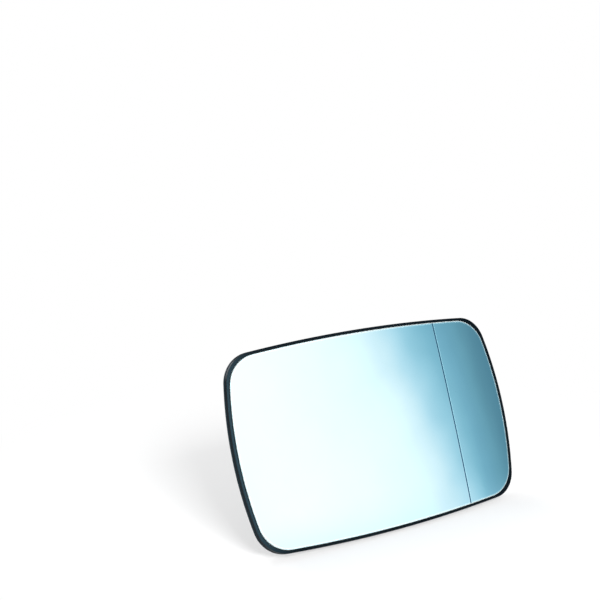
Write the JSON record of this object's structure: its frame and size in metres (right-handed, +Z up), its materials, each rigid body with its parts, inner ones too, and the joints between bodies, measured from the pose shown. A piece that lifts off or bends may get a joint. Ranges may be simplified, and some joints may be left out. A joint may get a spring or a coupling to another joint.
{
  "type": "door mirror glass",
  "caption": "Convex heated door mirror glass with an aspheric outer zone, on a black clip-on carrier plate with a hub ring, snap fingers and blade terminals.",
  "frame": {"origin": "on the hub bore's axis, at its mouth, behind the plate", "axes": "as installed: +X to the right as seen from the face, +Z up, the face looks along -Y and the hub opens along +Y"},
  "size_m": [0.1724, 0.0146, 0.108],
  "materials": {
    "mirror": "polished, silvered, with a slight blue tint",
    "heater_film": "satin film",
    "black_plastic": "moulded, satin",
    "blade_metal": "tinned",
    "rivet_metal": "plated"
  },
  "bodies": {
    "root": {"mirror_glass": "mirror", "heater_foil": "heater_film", "carrier_plate": "black_plastic", "blade_left": "blade_metal", "blade_right": "blade_metal", "rivet_left": "rivet_metal", "rivet_right": "rivet_metal"}
  },
  "joints": []
}
